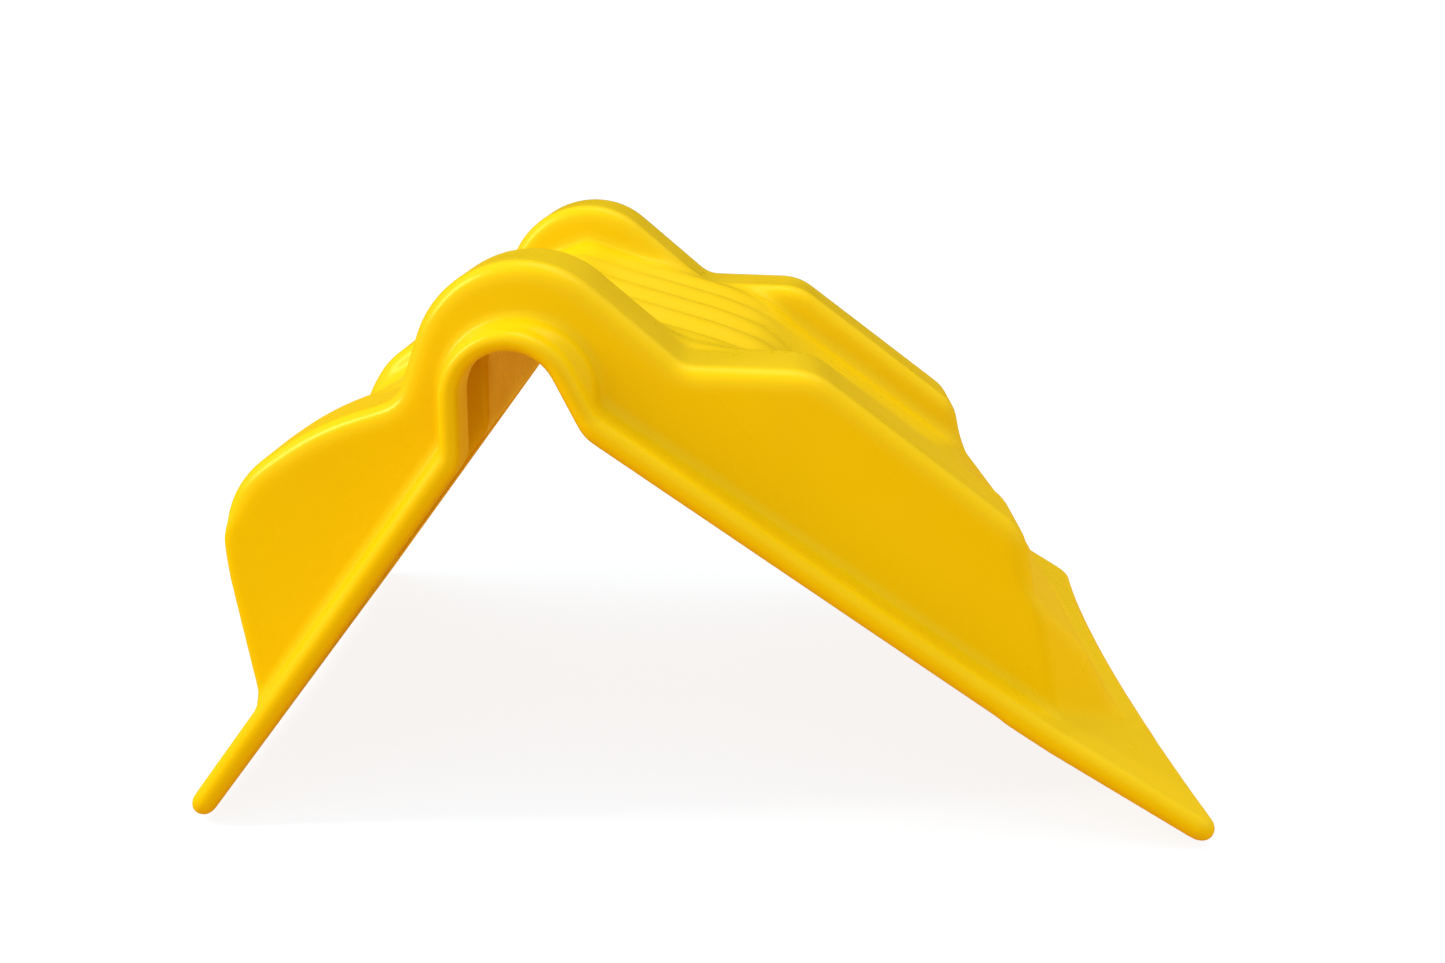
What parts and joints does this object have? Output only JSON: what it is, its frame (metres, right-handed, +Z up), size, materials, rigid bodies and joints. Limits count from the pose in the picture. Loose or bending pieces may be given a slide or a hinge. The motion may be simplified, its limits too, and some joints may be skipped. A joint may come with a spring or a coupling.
{
  "type": "strap edge protector",
  "caption": "Yellow plastic corner protector: legs meeting at a relief arch, with hollow guide fins beside a strap bed that keeps lashing webbing off a load's edge.",
  "frame": {"origin": "middle of the length and width, on the plane that the two leg tips stand on", "axes": "+Z up, +X towards the tip of the long leg, +Y across the width"},
  "size_m": [0.2532, 0.194, 0.1378],
  "materials": {
    "yellow_plastic": "satin to glossy injection-moulded polyolefin, self-coloured yellow, slightly translucent where thin"
  },
  "bodies": {
    "root": {"crown_arch": "yellow_plastic", "end_pad_long_leg": "yellow_plastic", "end_pad_short_leg": "yellow_plastic", "far_fin_end_wall_long_leg": "yellow_plastic", "far_fin_end_wall_short_leg": "yellow_plastic", "far_fin_hump_cap": "yellow_plastic", "far_fin_hump_inner_wall": "yellow_plastic", "far_fin_hump_outer_wall": "yellow_plastic", "far_fin_lobe_cap": "yellow_plastic", "far_fin_lobe_inner_wall": "yellow_plastic", "far_fin_lobe_outer_wall": "yellow_plastic", "far_fin_panel_cap": "yellow_plastic", "far_fin_panel_inner_wall": "yellow_plastic", "far_fin_panel_outer_wall": "yellow_plastic", "far_flange_long_leg": "yellow_plastic", "far_flange_relief_arch": "yellow_plastic", "far_flange_short_leg": "yellow_plastic", "near_fin_end_wall_long_leg": "yellow_plastic", "near_fin_end_wall_short_leg": "yellow_plastic", "near_fin_hump_cap": "yellow_plastic", "near_fin_hump_inner_wall": "yellow_plastic", "near_fin_hump_outer_wall": "yellow_plastic", "near_fin_lobe_cap": "yellow_plastic", "near_fin_lobe_inner_wall": "yellow_plastic", "near_fin_lobe_outer_wall": "yellow_plastic", "near_fin_panel_cap": "yellow_plastic", "near_fin_panel_inner_wall": "yellow_plastic", "near_fin_panel_outer_wall": "yellow_plastic", "near_flange_long_leg": "yellow_plastic", "near_flange_relief_arch": "yellow_plastic", "near_flange_short_leg": "yellow_plastic", "ramp_long_leg": "yellow_plastic", "ramp_short_leg": "yellow_plastic", "strap_bed_long_leg": "yellow_plastic", "strap_bed_ribbed_slope": "yellow_plastic", "strap_bed_short_leg": "yellow_plastic", "strap_rib_1": "yellow_plastic", "strap_rib_2": "yellow_plastic", "strap_rib_3": "yellow_plastic", "strap_rib_4": "yellow_plastic", "strap_rib_5": "yellow_plastic"}
  },
  "joints": []
}
